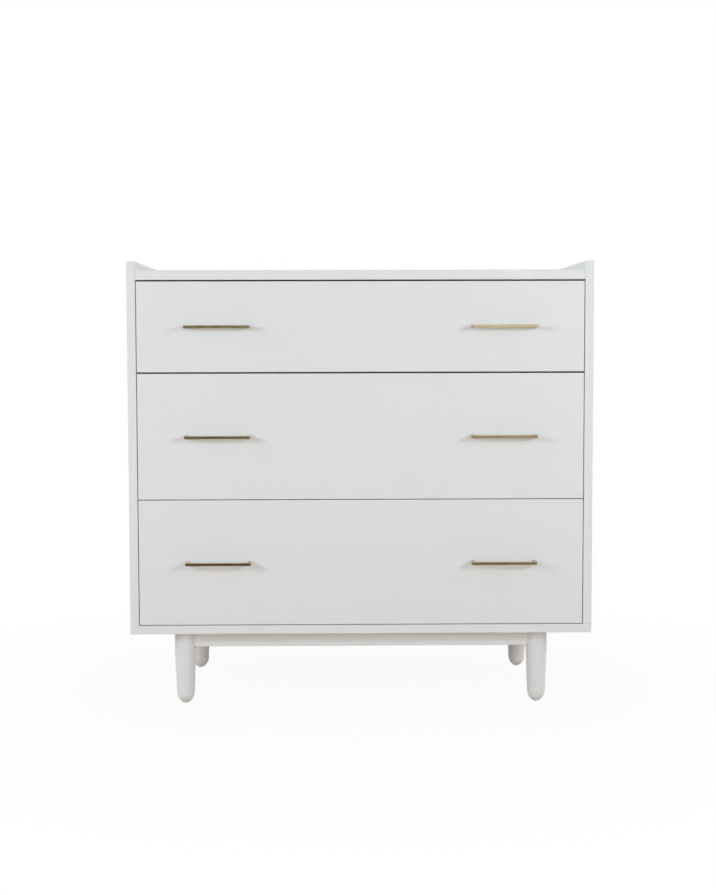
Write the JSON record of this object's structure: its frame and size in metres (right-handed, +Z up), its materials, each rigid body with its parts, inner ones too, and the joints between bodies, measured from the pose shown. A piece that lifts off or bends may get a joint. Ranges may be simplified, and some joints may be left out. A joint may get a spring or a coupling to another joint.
{
  "type": "chest of drawers",
  "caption": "White chest of inset drawers with slim brass bar handles, raised side lips and a frame of round tapered legs; the drawers slide on ball runners.",
  "frame": {"origin": "middle of the whole chest, handles included, on the floor under its feet", "axes": "+X to the right as seen from the front, +Y from front to back, +Z up"},
  "size_m": [0.96, 0.49, 0.926],
  "materials": {
    "white_lacquer": "white satin lacquer on board",
    "white_melamine": "white melamine-faced board",
    "white_hardboard": "white-faced thin hardboard",
    "brass": "brushed satin brass",
    "zinc_sheet": "bright zinc-plated sheet steel",
    "zinc_screw": "zinc-plated steel",
    "zinc_casting": "plain zinc die casting",
    "beech": "plain beech",
    "steel_ball": "polished bearing steel"
  },
  "bodies": {
    "case": {"left_side_panel": "white_lacquer", "right_side_panel": "white_lacquer", "top_panel": "white_lacquer", "bottom_panel": "white_lacquer", "back_panel": "white_hardboard", "leg_front_left": "white_lacquer", "leg_front_right": "white_lacquer", "leg_rear_left": "white_lacquer", "leg_rear_right": "white_lacquer", "front_rail": "white_lacquer", "rear_rail": "white_lacquer", "left_rail": "white_lacquer", "right_rail": "white_lacquer", "cam_locks": "zinc_casting", "cam_bolts": "zinc_casting", "dowels": "beech", "leg_bolts": "zinc_screw", "case_screws": "zinc_screw", "case_runner_bottom_left": "zinc_sheet", "case_runner_bottom_right": "zinc_sheet", "case_runner_middle_left": "zinc_sheet", "case_runner_middle_right": "zinc_sheet", "case_runner_top_left": "zinc_sheet", "case_runner_top_right": "zinc_sheet"},
    "drawer_bottom": {"drawer_bottom_front": "white_lacquer", "drawer_bottom_left_side": "white_melamine", "drawer_bottom_right_side": "white_melamine", "drawer_bottom_back": "white_melamine", "drawer_bottom_bottom": "white_hardboard", "drawer_bottom_handle_left": "brass", "drawer_bottom_handle_right": "brass", "drawer_bottom_runner_left": "zinc_sheet", "drawer_bottom_runner_right": "zinc_sheet", "drawer_bottom_screws": "zinc_screw"},
    "cages_bottom": {"runner_cages_bottom": "zinc_sheet", "runner_balls_bottom": "steel_ball"},
    "drawer_middle": {"drawer_middle_front": "white_lacquer", "drawer_middle_left_side": "white_melamine", "drawer_middle_right_side": "white_melamine", "drawer_middle_back": "white_melamine", "drawer_middle_bottom": "white_hardboard", "drawer_middle_handle_left": "brass", "drawer_middle_handle_right": "brass", "drawer_middle_runner_left": "zinc_sheet", "drawer_middle_runner_right": "zinc_sheet", "drawer_middle_screws": "zinc_screw"},
    "cages_middle": {"runner_cages_middle": "zinc_sheet", "runner_balls_middle": "steel_ball"},
    "drawer_top": {"drawer_top_front": "white_lacquer", "drawer_top_left_side": "white_melamine", "drawer_top_right_side": "white_melamine", "drawer_top_back": "white_melamine", "drawer_top_bottom": "white_hardboard", "drawer_top_handle_left": "brass", "drawer_top_handle_right": "brass", "drawer_top_runner_left": "zinc_sheet", "drawer_top_runner_right": "zinc_sheet", "drawer_top_screws": "zinc_screw"},
    "cages_top": {"runner_cages_top": "zinc_sheet", "runner_balls_top": "steel_ball"}
  },
  "joints": [
    {"name": "bottom_drawer_slide", "type": "slide", "parent": "case", "child": "drawer_bottom", "axis": [0, -1, 0], "range_m": [0, 0.3]},
    {"name": "bottom_cages_roll", "type": "slide", "parent": "case", "child": "cages_bottom", "axis": [0, -1, 0], "range_m": [0, 0.15]},
    {"name": "middle_drawer_slide", "type": "slide", "parent": "case", "child": "drawer_middle", "axis": [0, -1, 0], "range_m": [0, 0.3]},
    {"name": "middle_cages_roll", "type": "slide", "parent": "case", "child": "cages_middle", "axis": [0, -1, 0], "range_m": [0, 0.15]},
    {"name": "top_drawer_slide", "type": "slide", "parent": "case", "child": "drawer_top", "axis": [0, -1, 0], "range_m": [0, 0.3]},
    {"name": "top_cages_roll", "type": "slide", "parent": "case", "child": "cages_top", "axis": [0, -1, 0], "range_m": [0, 0.15]}
  ],
  "couplings": [
    {"joint": "bottom_cages_roll", "follows": "bottom_drawer_slide", "ratio": 0.5},
    {"joint": "middle_cages_roll", "follows": "middle_drawer_slide", "ratio": 0.5},
    {"joint": "top_cages_roll", "follows": "top_drawer_slide", "ratio": 0.5}
  ]
}
